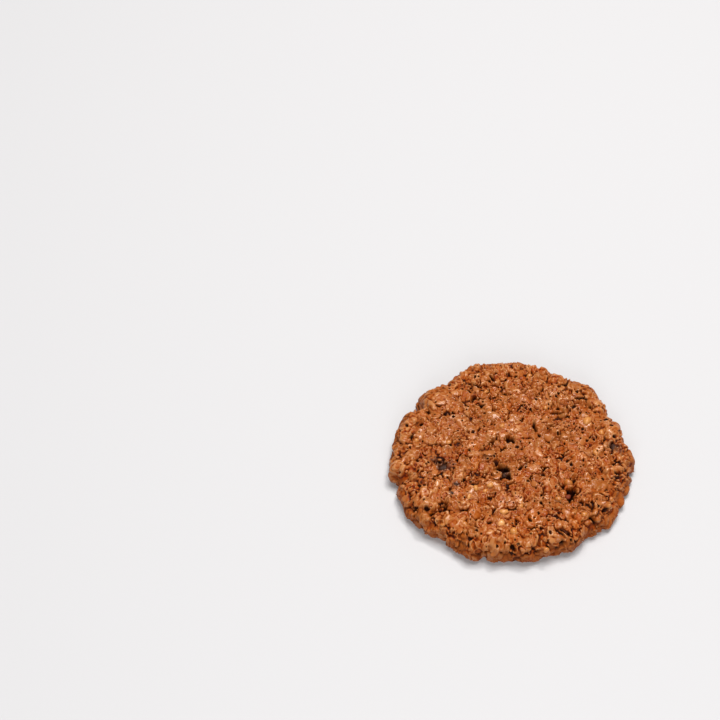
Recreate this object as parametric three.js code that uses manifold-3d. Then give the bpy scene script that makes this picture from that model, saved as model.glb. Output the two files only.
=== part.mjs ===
// An oatmeal cranberry cookie, lying flat with its craggy side up.
// It is one baked solid: a round of dough with a scalloped outline, a flat base and a rounded side. Lumps of
// coated oats cobble its crust, pits open between them, and the largest flakes and grains stand out of it.
// Lengths are millimetres, angles degrees, +Z is up, and the origin is the middle of the base.

import * as THREE from "three";
import { mergeVertices } from "three/addons/utils/BufferGeometryUtils.js";
import Module from "manifold-3d";

const wasm = await Module();
wasm.setup();

// ---- Driving dimensions ----

const MEAN_RADIUS = 44.4;
const DOUGH_TOP = 9.6; // height of the dough between its lumps
const WIDEST_AT = 3.8; // height at which the side stands out furthest
const SHOULDER = 5.0; // how far in the round over the side reaches
const FOOT = 1.6; // how far in the round under the side reaches

// Broad waves of the outline: how many to a turn, height, direction of a crest
const OUTLINE_WAVES = [
  [1, 0.6, 244],
  [2, 0.9, 20],
  [3, 0.6, 331],
  [4, 0.4, 353],
];

// Lobes (+) and notches (-) round the edge: direction, height, half width in degrees
const OUTLINE_LOBES = [
  [357, 1.0, 3], [8, -1.6, 3], [25, -2.8, 4], [45, 1.6, 6], [66, -0.9, 7],
  [84, 0.7, 4], [94, -0.8, 3], [106, 1.5, 5], [124, -1.3, 6], [140, 1.5, 5],
  [148, -2.7, 3], [160, 0.5, 6], [188, 1.1, 2.5], [195, -1.7, 3], [216, 0.9, 6],
  [232, -1.5, 3.5], [247, 0.9, 5], [256, -1.1, 3], [276, 0.5, 4], [299, 0.9, 5],
  [308, -1.5, 4], [319, 1.0, 4], [341, -0.5, 6],
];

// Where the dough spread thin before it rose, so that a low lip stands out below the crust:
// direction, reach, half width in degrees
const LIPS = [
  [333, 1.9, 14], [144, 1.6, 7], [194, 1.4, 3], [63, 0.8, 6],
];
const LIP_TOP = [3.2, 6.2]; // heights between which the side draws in above a lip

// Broad rises (+) and hollows (-) of the top: x, y, height, radius
const SWELLS = [
  [-3.5, 10, 0.9, 6], [-25, 23, 0.7, 8], [6, 25, 0.8, 5], [28, 27, 0.8, 7],
  [29, 12, 0.7, 5], [-25, 12, 0.4, 7], [-5, -20, 0.8, 6], [-12, -38, 0.7, 5],
  [20, -34, 0.9, 6], [33, -21, 0.7, 5], [-38, 3, 0.5, 8], [-3, -8, -1.5, 6],
  [21, -18, -1.0, 6], [-28, -6, -0.7, 5], [9, 12, -0.6, 5], [-2, 29, -0.6, 4],
  [0, 3.5, -0.7, 5], [17, 18, -0.6, 5], [-31, -27, -0.6, 5], [9, -6, 0.5, 7],
];

// Pits in the top: x, y, depth, half length, half width, direction of the length
const PITS = [
  [-3.4, -8.2, 4.2, 2.3, 1.9, 120],
  [-1.8, -12.0, 3.2, 1.7, 1.5, 20],
  [21.9, -19.6, 4.5, 3.4, 1.7, 80],
  [9.4, 11.6, 3.2, 2.6, 1.5, 105],
  [-0.4, 5.0, 2.8, 2.0, 1.4, 0],
  [-8.0, 4.2, 2.4, 1.5, 1.4, 0],
  [-28.7, -4.2, 2.6, 1.8, 1.5, 0],
  [18.2, 18.8, 2.6, 2.3, 1.4, 350],
  [-32.6, 19.0, 2.2, 1.8, 1.4, 70],
  [30.2, -31.0, 3.0, 2.6, 1.8, 320],
  [-27.0, -24.5, 2.6, 2.6, 1.5, 40],
  [-14.0, 24.4, 2.2, 1.5, 1.4, 0],
  [17.0, -40.0, 2.8, 2.6, 1.5, 80],
];
const PIT_FADE = [4.5, 8.0]; // heights between which the pits fade out down the side

// Lumps of dough-coated oats that cobble the crust, with a crease where one meets the next
const LUMPS = { count: 430, radius: [2.2, 3.9], height: [0.6, 1.9], turn: 40 };

// Flakes and grains that stand out of the crust: half length, half width and half thickness of each kind,
// the most that one tilts, and how far its middle stands over the crust as a share of its half thickness
const FLAKES = { count: 48, half: [[2.1, 3.2], [1.6, 2.2], [0.6, 0.9]], tilt: 26, raised: 0.1, turn: 97 };
const GRAINS = { count: 34, half: [[1.2, 1.8], [1.0, 1.4], [0.9, 1.2]], tilt: 60, raised: -0.1, turn: 11 };

// Round glossy grains that stand clear of the rest: x, y, half size
const BEADS = [
  [-5.7, -33.0, 1.6], [-1.2, -37.0, 1.7], [29.6, 13.2, 1.9], [21.4, -15.0, 1.7],
  [35.0, 9.0, 1.5], [-9.2, -16.5, 1.3], [-14.8, -18.0, 1.3],
];
const BEAD_RAISED = -0.4;

const POINT_SPACING = 1.58; // between the points of the crust, along the section and round each ring
const BASE_RINGS = [38, 30, 15, 4]; // radii of the rings of points on the flat base
const BASE_SPACING = 7;

const GOLDEN_TURN = 137.50776; // degrees between one piece and the next, which spreads them evenly
const BASE_CLEARANCE = 1.4; // the relief fades out over this height above the base

// ---- Helpers ----

const { degToRad, lerp, smoothstep } = THREE.MathUtils;
const bell = (x) => Math.exp(-x * x);

// Signed angle from b to a, between -180 and 180
const turnBetween = (a, b) => ((((a - b) % 360) + 540) % 360) - 180;

// A fixed number between 0 and 1 for each piece and each of its properties
const scatter = (index, property) => {
  const x = Math.sin(index * 12.9898 + property * 78.233) * 43758.5453;
  return x - Math.floor(x);
};

const between = ([low, high], share) => lerp(low, high, share);

// ---- The dough ----

// The outline's radius in a direction: the mean radius, its waves, and its lobes and notches
function outline(direction) {
  let radius = MEAN_RADIUS;
  for (const [perTurn, height, crest] of OUTLINE_WAVES)
    radius += height * Math.cos(degToRad(perTurn * (direction - crest)));
  for (const [at, height, halfWidth] of OUTLINE_LOBES)
    radius += height * bell(turnBetween(direction, at) / halfWidth);
  return radius;
}

// How far the side draws in above the lips, in a direction and at a height
function drawnIn(direction, height) {
  let reach = 0;
  for (const [at, lip, halfWidth] of LIPS) reach += lip * bell(turnBetween(direction, at) / halfWidth);
  return reach * smoothstep(height, ...LIP_TOP);
}

// Half of the section of the crust: over the top, round the shoulder and down the side to the base
function halfSection() {
  const path = new THREE.Path();
  path.moveTo(0, DOUGH_TOP);
  path.lineTo(MEAN_RADIUS - SHOULDER, DOUGH_TOP);
  path.absellipse(MEAN_RADIUS - SHOULDER, WIDEST_AT, SHOULDER, DOUGH_TOP - WIDEST_AT, Math.PI / 2, 0, true);
  path.absellipse(MEAN_RADIUS - FOOT, WIDEST_AT, FOOT, WIDEST_AT, 0, -Math.PI / 2, true);
  return path;
}

const SECTION = halfSection();
const SECTION_STEPS = 400;

// The share of the crust's area that lies inside each of the evenly spaced points of the section
function sectionAreas() {
  const areas = [0];
  const points = SECTION.getSpacedPoints(SECTION_STEPS);
  for (let i = 1; i < points.length; i++) areas.push(areas[i - 1] + points[i].x + points[i - 1].x);
  return areas.map((area) => area / areas[SECTION_STEPS]);
}

const AREAS = sectionAreas();

// The place on the smooth crust in a direction, part of the way along the section, and its normal
function smoothCrust(direction, along) {
  const { x: inner, y: height } = SECTION.getPointAt(along);
  const tangent = SECTION.getTangentAt(along);
  const size = outline(direction) / MEAN_RADIUS;
  const radius = inner * size - drawnIn(direction, height) * smoothstep(inner, 0, MEAN_RADIUS);
  const [cos, sin] = [Math.cos(degToRad(direction)), Math.sin(degToRad(direction))];
  return {
    place: new THREE.Vector3(radius * cos, radius * sin, height),
    normal: new THREE.Vector3(-tangent.y * cos, -tangent.y * sin, tangent.x),
  };
}

// Pieces spread evenly over the crust, each turned from the last by the golden angle
function spread(count, turn) {
  return Array.from({ length: count }, (_, i) => {
    const share = (i + 0.5) / count;
    return smoothCrust(i * GOLDEN_TURN + turn, AREAS.findIndex((area) => area >= share) / SECTION_STEPS);
  });
}

const lumps = spread(LUMPS.count, LUMPS.turn).map(({ place }, i) => ({
  place,
  radius: between(LUMPS.radius, scatter(i, 1)),
  height: between(LUMPS.height, scatter(i, 2)),
}));

// How far the crust stands out of the smooth dough: the broad swells, the highest lump, less the deepest pit
function relief(place) {
  let swell = 0;
  for (const [x, y, height, radius] of SWELLS)
    swell += height * bell(Math.hypot(place.x - x, place.y - y) / radius);
  let lump = 0;
  for (const { place: middle, radius, height } of lumps) {
    const near = 1 - place.distanceToSquared(middle) / radius ** 2;
    if (near > 0) lump = Math.max(lump, height * Math.sqrt(near));
  }
  let pit = 0;
  for (const [x, y, depth, halfLength, halfWidth, direction] of PITS) {
    const across = new THREE.Vector2(place.x - x, place.y - y).rotateAround(new THREE.Vector2(), -degToRad(direction));
    pit = Math.max(pit, depth * bell(Math.hypot(across.x / halfLength, across.y / halfWidth) ** 2));
  }
  return swell + lump - pit * smoothstep(place.z, ...PIT_FADE);
}

// A place on the craggy crust: the relief stands along the normal, and fades out just above the base
function craggyCrust({ place, normal }) {
  const shown = smoothstep(place.z, 0, BASE_CLEARANCE);
  return place.clone().addScaledVector(normal, relief(place) * shown);
}

// A ring of points, with every second ring turned half a step so that the faces between two are even
function ring(index, radius, spacing, pointAt) {
  const count = Math.max(1, Math.round((2 * Math.PI * radius) / spacing));
  const offset = (index % 2) / 2;
  return Array.from({ length: count }, (_, i) => pointAt((360 * (i + offset)) / count));
}

// The faces between two rings, taking whichever step comes first round the turn
function facesBetween(inner, outer) {
  const faces = [];
  let [i, j] = [0, 0];
  while (i < inner.length || j < outer.length) {
    const [a, b] = [inner[i % inner.length], outer[j % outer.length]];
    const innerNext = inner.length > 1 ? (i + 0.5) / inner.length : Infinity;
    const outerNext = outer.length > 1 ? (j + 0.5) / outer.length : Infinity;
    if (i < inner.length && (innerNext <= outerNext || j === outer.length)) {
      if (inner.length > 1) faces.push([a, b, inner[(i + 1) % inner.length]]);
      i++;
    } else {
      if (outer.length > 1) faces.push([a, b, outer[(j + 1) % outer.length]]);
      j++;
    }
  }
  return faces;
}

// The dough, ring by ring from the middle of the top, over the side, to the middle of the base
function doughGeometry() {
  const steps = Math.round(SECTION.getLength() / POINT_SPACING);
  const rings = Array.from({ length: steps + 1 }, (_, k) =>
    ring(k, SECTION.getPointAt(k / steps).x, POINT_SPACING, (direction) =>
      craggyCrust(smoothCrust(direction, k / steps)),
    ),
  );
  for (const radius of [...BASE_RINGS, 0])
    rings.push(
      ring(rings.length, radius, BASE_SPACING, (direction) =>
        new THREE.Vector3(radius * Math.cos(degToRad(direction)), radius * Math.sin(degToRad(direction)), 0),
      ),
    );
  const corners = rings.slice(1).flatMap((outer, k) => facesBetween(rings[k], outer)).flat();
  return new THREE.BufferGeometry().setFromPoints(corners);
}

// ---- Flakes, grains and beads ----

// An ellipsoid with few faces, at a place on the crust, turned about its normal and tilted from it
function ovalGeometry({ place, normal }, half, raised, turn, tilt) {
  const geometry = new THREE.IcosahedronGeometry(1, 0);
  geometry.scale(...half);
  geometry.rotateX(degToRad(tilt));
  geometry.rotateZ(degToRad(turn));
  geometry.applyQuaternion(new THREE.Quaternion().setFromUnitVectors(new THREE.Vector3(0, 0, 1), normal));
  const middle = craggyCrust({ place, normal }).addScaledVector(normal, raised * half[2]);
  geometry.translate(middle.x, middle.y, middle.z);
  return geometry;
}

function ovals({ count, half, tilt, raised, turn }) {
  return spread(count, turn)
    .filter(({ place }) => place.z > half[0][1])
    .map((at, i) => {
      const sizes = half.map((range, axis) => between(range, scatter(i + turn, axis)));
      return ovalGeometry(at, sizes, raised, 360 * scatter(i + turn, 3), tilt * (2 * scatter(i + turn, 4) - 1));
    });
}

function beads() {
  return BEADS.map(([x, y, half]) => {
    const top = { place: new THREE.Vector3(x, y, DOUGH_TOP), normal: new THREE.Vector3(0, 0, 1) };
    return ovalGeometry(top, [half, half * 0.9, half * 0.9], BEAD_RAISED, x * 10, 0);
  });
}

// ---- One solid ----

function solid(geometry) {
  geometry.deleteAttribute("normal");
  geometry.deleteAttribute("uv");
  const merged = mergeVertices(geometry, 1e-3);
  return new wasm.Manifold(
    new wasm.Mesh({
      numProp: 3,
      vertProperties: new Float32Array(merged.getAttribute("position").array),
      triVerts: new Uint32Array(merged.index.array),
    }),
  );
}

function geometryOf(manifold) {
  const { numProp, numVert, vertProperties, triVerts } = manifold.getMesh();
  const position = new Float32Array(numVert * 3);
  for (let i = 0; i < numVert; i++)
    position.set(vertProperties.subarray(i * numProp, i * numProp + 3), i * 3);
  const geometry = new THREE.BufferGeometry();
  geometry.setAttribute("position", new THREE.BufferAttribute(position, 3));
  geometry.setIndex(new THREE.BufferAttribute(new Uint32Array(triVerts), 1));
  geometry.computeVertexNormals();
  return geometry;
}

// The dough with its pieces joined to it. A hollow that two pieces close between them has a shell of its own,
// of less volume than the outside one, and is left filled.
const joined = wasm.Manifold.union([doughGeometry(), ...ovals(FLAKES), ...ovals(GRAINS), ...beads()].map(solid));
const [outside] = joined.decompose().sort((a, b) => b.volume() - a.volume());

const cookieGeometry = geometryOf(outside);
cookieGeometry.computeBoundingBox();
const middle = cookieGeometry.boundingBox.getCenter(new THREE.Vector3());
cookieGeometry.translate(-middle.x, -middle.y, 0);

const crust = new THREE.MeshStandardMaterial({ color: 0xab6033, roughness: 0.62, metalness: 0 });
const cookieMesh = new THREE.Mesh(cookieGeometry, crust);
cookieMesh.name = "cookie";

const cookie = new THREE.Group();
cookie.name = "oatmeal_cranberry_cookie";
cookie.add(cookieMesh);

export default cookie;
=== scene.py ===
"""An oatmeal cranberry cookie, lying flat on a pale table, seen from the front and well above.

The dough is a round with a scalloped outline, a rounded side and a flat base. Its crust is a height over that
smooth round: broad swells, lumps of coated oats, close grains, folds, curls, pits and small holes. Flakes and
grains of oats, glossy beads and bits of cranberry are meshes of their own, set into the crust.

Lengths are millimetres until a mesh is made. Angles are degrees in the tables and radians in the arrays.
"""

import itertools
import math

import bpy
import numpy as np
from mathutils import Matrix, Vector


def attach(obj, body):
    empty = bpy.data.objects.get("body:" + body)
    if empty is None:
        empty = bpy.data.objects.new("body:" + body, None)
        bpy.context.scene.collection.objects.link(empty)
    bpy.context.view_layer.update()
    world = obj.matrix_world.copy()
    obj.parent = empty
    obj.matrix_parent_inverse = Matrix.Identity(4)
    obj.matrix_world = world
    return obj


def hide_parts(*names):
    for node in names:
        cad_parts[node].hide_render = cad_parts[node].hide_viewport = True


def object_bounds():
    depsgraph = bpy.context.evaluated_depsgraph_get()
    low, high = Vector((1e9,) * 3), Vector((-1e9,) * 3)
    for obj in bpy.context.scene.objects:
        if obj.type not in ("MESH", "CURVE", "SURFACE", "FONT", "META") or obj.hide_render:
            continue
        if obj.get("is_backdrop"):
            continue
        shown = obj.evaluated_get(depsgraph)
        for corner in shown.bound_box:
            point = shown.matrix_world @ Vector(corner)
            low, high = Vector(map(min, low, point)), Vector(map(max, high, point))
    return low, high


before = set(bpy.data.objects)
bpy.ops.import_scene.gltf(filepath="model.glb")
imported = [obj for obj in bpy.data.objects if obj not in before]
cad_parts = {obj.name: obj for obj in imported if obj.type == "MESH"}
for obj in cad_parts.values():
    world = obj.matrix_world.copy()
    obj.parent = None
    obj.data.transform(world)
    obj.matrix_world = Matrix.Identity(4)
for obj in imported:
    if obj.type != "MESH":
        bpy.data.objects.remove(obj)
cad_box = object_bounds()

MM = 0.001

# ---- The dough: the solid's sizes, except that the pits are a little narrower ----

MEAN_RADIUS = 44.4
DOUGH_TOP = 9.6  # height of the dough between its lumps
WIDEST_AT = 3.8  # height at which the side stands out furthest
SHOULDER = 5.0  # reach of the round over the side
FOOT = 1.6  # and of the round under the side
CENTRE = (0.094, -0.179)  # the middle of the round, so that the whole is centred

# Broad waves of the outline: how many to a turn, height, direction of a crest
OUTLINE_WAVES = [
    (1, 0.6, 244), (2, 0.9, 20), (3, 0.6, 331), (4, 0.4, 353),
]

# Lobes (+) and notches (-) round the edge: direction, height, half width in degrees
OUTLINE_LOBES = [
    (357, 1, 3), (8, -1.6, 3), (25, -2.8, 4), (45, 1.6, 6), (66, -0.9, 7), (84, 0.7, 4), (94, -0.8, 3),
    (106, 1.5, 5), (124, -1.3, 6), (140, 1.5, 5), (148, -2.7, 3), (160, 0.5, 6), (188, 1.1, 2.5),
    (195, -1.7, 3), (216, 0.9, 6), (232, -1.5, 3.5), (247, 0.9, 5), (256, -1.1, 3), (276, 0.5, 4),
    (299, 0.9, 5), (308, -1.5, 4), (319, 1, 4), (341, -0.5, 6),
]

# Low lips below the crust: direction, reach, half width in degrees
LIPS = [
    (333, 1.9, 14), (144, 1.6, 7), (194, 1.4, 3), (63, 0.8, 6),
]
LIP_TOP = (3.2, 6.2)  # heights between which the side draws in above a lip

# Broad rises (+) and hollows (-) of the top: x, y, height, radius
SWELLS = [
    (-3.5, 10, 0.9, 6), (-25, 23, 0.7, 8), (6, 25, 0.8, 5), (28, 27, 0.8, 7), (29, 12, 0.7, 5),
    (-25, 12, 0.4, 7), (-5, -20, 0.8, 6), (-12, -38, 0.7, 5), (20, -34, 0.9, 6), (33, -21, 0.7, 5),
    (-38, 3, 0.5, 8), (-3, -8, -1.5, 6), (21, -18, -1, 6), (-28, -6, -0.7, 5), (9, 12, -0.6, 5),
    (-2, 29, -0.6, 4), (0, 3.5, -0.7, 5), (17, 18, -0.6, 5), (-31, -27, -0.6, 5), (9, -6, 0.5, 7),
]

# Lumps of dough-coated oats that cobble the crust
LUMP_COUNT, LUMP_RADIUS, LUMP_HEIGHT, LUMP_TURN = 430, (2.2, 3.9), (0.6, 1.9), 40

# Large pits in the top: x, y, depth, half length, half width, direction of the length
PITS = [
    (-3.9, -7.8, 4.2, 2.2, 1.25, 140), (-1.9, -11.7, 3.2, 1.6, 1, 150), (21.9, -19.6, 4.5, 3.2, 1.6, 80),
    (9.4, 11.6, 3.2, 2.1, 1, 105), (-0.4, 5, 2.8, 1.7, 0.9, 0), (-8, 4.2, 3, 1.4, 1, 0),
    (-28.7, -4.2, 2.6, 1.5, 1.1, 0), (18.2, 18.8, 2.2, 1.9, 0.8, 350), (-32.6, 19, 2.2, 1.4, 1, 70),
    (30.2, -31, 3, 2.4, 1.4, 320), (-27, -24.5, 2.6, 1.9, 1, 40), (-14, 24.4, 2.2, 1.1, 0.9, 0),
    (17, -40, 2.8, 2.3, 1.2, 80),
]

# Slots and smaller pits between the lumps: x, y, depth, half length, half width, direction of the length
SLOTS = [
    (18.7, -16.4, 2, 1.2, 0.6, 100), (10.7, 8.1, 1.4, 0.8, 0.7, 0), (-26.8, -7, 1.2, 1.8, 1.4, 20),
    (-33.6, -26.1, 1.8, 1, 0.9, 0), (-31.6, -28.4, 1.6, 1, 0.7, 30), (-11, 21.5, 1.4, 1.9, 0.6, 5),
    (-2, 26.9, 1.6, 0.9, 0.7, 0), (-12.5, 30.7, 1.3, 0.8, 0.6, 0), (25, 21, 1.6, 1.1, 0.8, 0),
    (28.2, 24.3, 1.5, 2.9, 0.5, 355), (2.9, -7.9, 1.7, 1.5, 0.6, 60), (11.2, -11.3, 1.5, 0.9, 0.7, 0),
    (40, -10.3, 1.6, 1.1, 0.9, 0), (38.7, -5.8, 1.4, 0.9, 0.7, 0), (31.3, -24.1, 1.7, 1.8, 0.5, 88),
    (33.5, -26, 1.6, 1.6, 0.6, 70), (-10, -32.6, 1.4, 0.8, 0.7, 0), (-15.1, -36.4, 1.5, 0.9, 0.8, 0),
    (-26, -39.5, 1.4, 2.4, 0.5, 335), (-1.6, -42.3, 1.5, 1.1, 0.9, 0), (-5, -43.9, 1.4, 1.6, 0.6, 350),
    (13.9, -43, 1.4, 1.2, 0.6, 60), (11.5, -44.3, 1.3, 1.1, 0.6, 20), (15.9, -36.6, 1.3, 2.2, 0.5, 320),
    (25.2, -23.9, 1.4, 1.4, 0.5, 130), (31.9, -32.4, 1.8, 1, 0.8, 0), (-17.5, -11.5, 1.1, 1.6, 0.5, 30),
    (-20, 5.5, 1.1, 1.8, 0.4, 160), (13, -3.5, 1.1, 1.7, 0.45, 20), (-8, -27.5, 1.2, 1.5, 0.5, 70),
    (5, -31.5, 1.2, 1.6, 0.5, 110), (36, 6, 1.2, 1.4, 0.5, 80), (-38.5, 7, 1.2, 1.6, 0.5, 50),
]
PIT_FADE = (4.5, 8.0)  # heights between which the pits and slots fade out down the side

# Small dark holes, as where a bubble broke: x, y, radius
HOLES = [
    (19.9, 30.5, 0.6), (19.4, 27.3, 0.5), (18.5, 25.9, 0.5), (15.9, 25.2, 0.6), (11.3, 25.9, 0.5),
    (10.4, 23.9, 0.5), (4.5, 21.2, 0.6), (7.9, 19.2, 0.5), (26.6, 27.5, 0.6), (31.3, 20.6, 0.6),
    (34.5, 20.6, 0.5), (33.1, 18.3, 0.6), (29.5, 17.2, 0.5), (36.7, 14.2, 0.6), (38.8, 11.4, 0.6),
    (39.5, 6.6, 0.6), (39.1, 3.4, 0.7), (40.5, 1.9, 0.6), (29.2, 5, 0.6), (32, 5.9, 0.5), (27.7, 10, 0.5),
    (18, 8, 0.5), (2, 2.3, 0.7), (3.1, 35.8, 0.6), (9.5, 38.1, 0.5), (-3, 30.7, 0.5), (-7.5, 33.6, 0.5),
    (-13.3, 35.1, 0.6), (-1, 33.8, 0.5), (-14.9, 8.4, 0.6), (-15.3, 15.6, 0.6), (-10.4, 11.8, 0.5),
    (-22.4, 15.4, 0.6), (-23.7, 2.5, 0.6), (-18.9, 2.1, 0.5), (-34.9, 12.5, 0.6), (-40.1, 12, 0.6),
    (-39.4, 1, 0.5), (-34.3, -16, 0.7), (-42.6, -8.9, 0.5), (-36.5, -9.1, 0.5), (-36.7, -4.7, 0.6),
    (-32.4, -5.6, 0.5), (5.4, -14.2, 0.6), (9.9, -23.8, 0.6), (8.6, -28.8, 0.6), (9.2, -35.5, 0.6),
    (12.4, -37.3, 0.6), (22.3, -6.6, 0.6), (23, -13.5, 0.6), (30.2, -12.8, 0.6), (34, -13, 0.6),
    (39.8, -14.9, 0.6),
]
HOLE_DEPTH = 1.1
PINHOLES = {"count": 1500, "turn": 61, "uneven": 1.5, "radius": (0.24, 0.42), "depth": 1.0}

# Smoother plates, where dough covers the grains: x, y, radius
PLATES = [
    (-26, 24, 6.5), (-27, 13, 5), (-5, 12, 4), (7, 25.5, 5), (30, 27, 4.5), (24, 5, 3), (-37, 11.5, 3),
    (-22.6, -8, 3.5), (-11.8, -38.2, 4.5), (-31.5, -22.5, 2.5), (-22.3, -26.6, 2.2), (-37.8, -12.2, 3),
    (-38, -28.5, 3), (17.8, -33.8, 2.8), (44, -5, 3), (16, 37, 4), (-8, 41, 3.5), (4, 37, 3.5),
    (-17, 27, 3.5), (14, -24, 3), (3, 16.5, 3), (-38, -3, 3.5),
]
PATCHES = 0.6  # how calm the crust is where dough covers it elsewhere, in patches
BACK_CALM, FRONT_TO_BACK = 0.12, (-20, 12)  # how much calmer the back is, and where the change lies

# The close crust: small mounds that overlap, kind by kind. How many, the turn of their spread, how unevenly
# they lie, half length, half width as a share of it, height, how much lower they lie where dough covers the
# grains, slope, bend, how square the top is (a power), and the share that have a hole in the middle, as
# rings do
MOUNDS = [
    (900, 5, 2.6, (1.5, 4.2), (0.5, 0.95), (-0.6, 1.3), 0.0, 0.34, 0.12, 7, 0.0),  # slabs
    (2000, 19, 1.6, (0.6, 1.5), (0.5, 1.0), (-0.2, 1.5), 1.0, 0.5, 0.35, 3, 0.04),  # pillows
    (1300, 33, 1.3, (0.4, 0.8), (0.7, 1.0), (0.4, 1.45), 1.8, 0.3, 0.2, 2, 0.1),  # granules
    (48, 97, 0, (2.1, 3.2), (0.65, 0.8), (0.8, 1.2), 0.3, 0.3, 0.1, 4, 0.0),  # whole flakes, as the solid has
    (34, 11, 0, (1.2, 1.8), (0.7, 0.85), (1.1, 1.5), 0.3, 0.2, 0.1, 2, 0.0),  # whole grains, the same
]
MOUND_FLOOR = -1.0  # the level between mounds
MOUND_HOLE, MOUND_HOLE_DEPTH = 0.42, 0.7  # how far out a hole in one reaches, and its depth
FUSING = 7.0  # how sharply one mound gives way to the next: the lower, the more they run together
MEAN_MOUND = 0.45  # about their mean height, so that the crust's mean height stays that of its lumps

# Curls: oat flakes lying in the crust, smooth inside, with a raised rim most of the way round
CURLS = {
    "count": 620, "turn": 23, "long": (0.6, 2.1), "share": (0.55, 0.95), "rim": (0.18, 0.3),
    "height": (0.3, 0.65), "sweep": (120, 320),
}
CURL_HOLLOW, CURL_SMOOTH = 0.12, 0.45  # depth inside them, and the share of the grains smoothed away there

# The plainest of them: x, y, half length, half width as a share, half width of the rim, its height, the
# direction of its middle and its sweep
LISTED_CURLS = [
    (-4.3, 11.8, 1.6, 0.75, 0.35, 0.5, 240, 260), (-3, 10.6, 3.6, 0.8, 0.4, 0.45, 285, 170),
    (24, 5, 2.2, 0.8, 0.35, 0.6, 200, 320), (-5.7, -22.3, 1.8, 0.9, 0.35, 0.6, 260, 340),
    (3.4, -21.2, 1.5, 0.9, 0.35, 0.6, 300, 300), (35, 9, 2.2, 0.9, 0.35, 0.55, 240, 300),
    (-26.8, -21, 1.6, 0.9, 0.35, 0.55, 90, 340), (-11.8, -21.6, 1.9, 0.6, 0.35, 0.6, 90, 220),
    (38.1, -3.2, 1.6, 0.7, 0.3, 0.5, 40, 260), (33, -6, 1.5, 0.7, 0.3, 0.5, 320, 260),
    (-30, 6, 1.8, 0.7, 0.3, 0.5, 120, 260), (-14, -4, 1.9, 0.7, 0.3, 0.5, 200, 240),
    (12, 1, 1.8, 0.8, 0.3, 0.5, 30, 280), (20, -27, 1.8, 0.7, 0.3, 0.5, 150, 260),
    (30, -18, 1.9, 0.7, 0.3, 0.5, 60, 240), (8, -18, 1.7, 0.8, 0.3, 0.5, 330, 260),
]

# Heights of the rest of the close relief. A crease lies between two mounds
FOLD_HEIGHT, WRINKLE_HEIGHT, GRIT_HEIGHT = 1.1, 0.1, 0.04
CRACK_DEPTH, CREASE_DEPTH = 0.2, 0.1
CALMED = 0.4  # the share of the mounds' height that dough takes away where it covers them
SIDE_STEEPNESS = (0.2, 0.7)  # 1 minus the normal's upward part, where the top turns into the side
SIDE_FLATTER, SIDE_MOUNDS, SIDE_CRACKS = 0.75, 0.15, 0.25  # how much less of folds and more of these it has
HIGH, HIGH_SHARE = 2.0, 0.25  # only this share of the relief over this height is kept
BASE_CLEARANCE = 2.2  # the relief fades out over this height above the base

# Depths between which a pit, a slot, a hollow of the close relief and a hole take painted shade and turn dark
PIT_SHADE, SLOT_SHADE, HOLLOW_SHADE, HOLE_SHADE = (0.8, 2.4), (0.3, 1.2), (0.6, 1.15), (0.15, 0.5)
# Painted shade: how much lower than they are the finish takes creases, cracks, grains to the front, and the
# side, so that these are coloured darker
CREASE_SHADE, CRACK_SHADE, FRONT_SHADE, SIDE_SHADE = 0.25, 0.15, 0.25, 0.3
FRONT_SHADE_SPAN = (-10, 30)  # how far forward of the middle the painted shade on the grains begins and ends
EDGE_STEPS = 3  # how many steps of the mesh away the surroundings of a point reach
EDGE_HIGHLIGHT_AND_SHADE = (1.8, 3.7)  # how much more a painted highlight on an edge and painted shade in a crease show in the finish than their height gives

# Pieces set into the crust: half sizes along, across and through, the most that one tilts, how far it stands
# over the crust as a share of its half thickness, how far it is curled, rows and columns of faces, and the
# lowest height at which it lies
FLAKES = {
    "count": 60, "turn": 53, "half": ((1.2, 2.2), (0.9, 1.6), (0.3, 0.45)), "tilt": 38, "raised": -0.3,
    "curl": (-0.6, 1.0), "faces": (8, 16), "lowest": 2.6,
}
GRAINS = {
    "count": 300, "turn": 71, "half": ((0.5, 1.1), (0.45, 0.85), (0.4, 0.75)), "tilt": 70, "raised": -0.5,
    "curl": (-0.3, 0.3), "faces": (6, 10), "lowest": 1.4,
}
SET_UNEVEN, LISTED_UNEVEN = 0.12, 0.1  # how wavy the outlines of these and of the listed pieces are
LISTED_FACES = (8, 14)
LOWEST = 0.1  # how low a piece may reach

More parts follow.
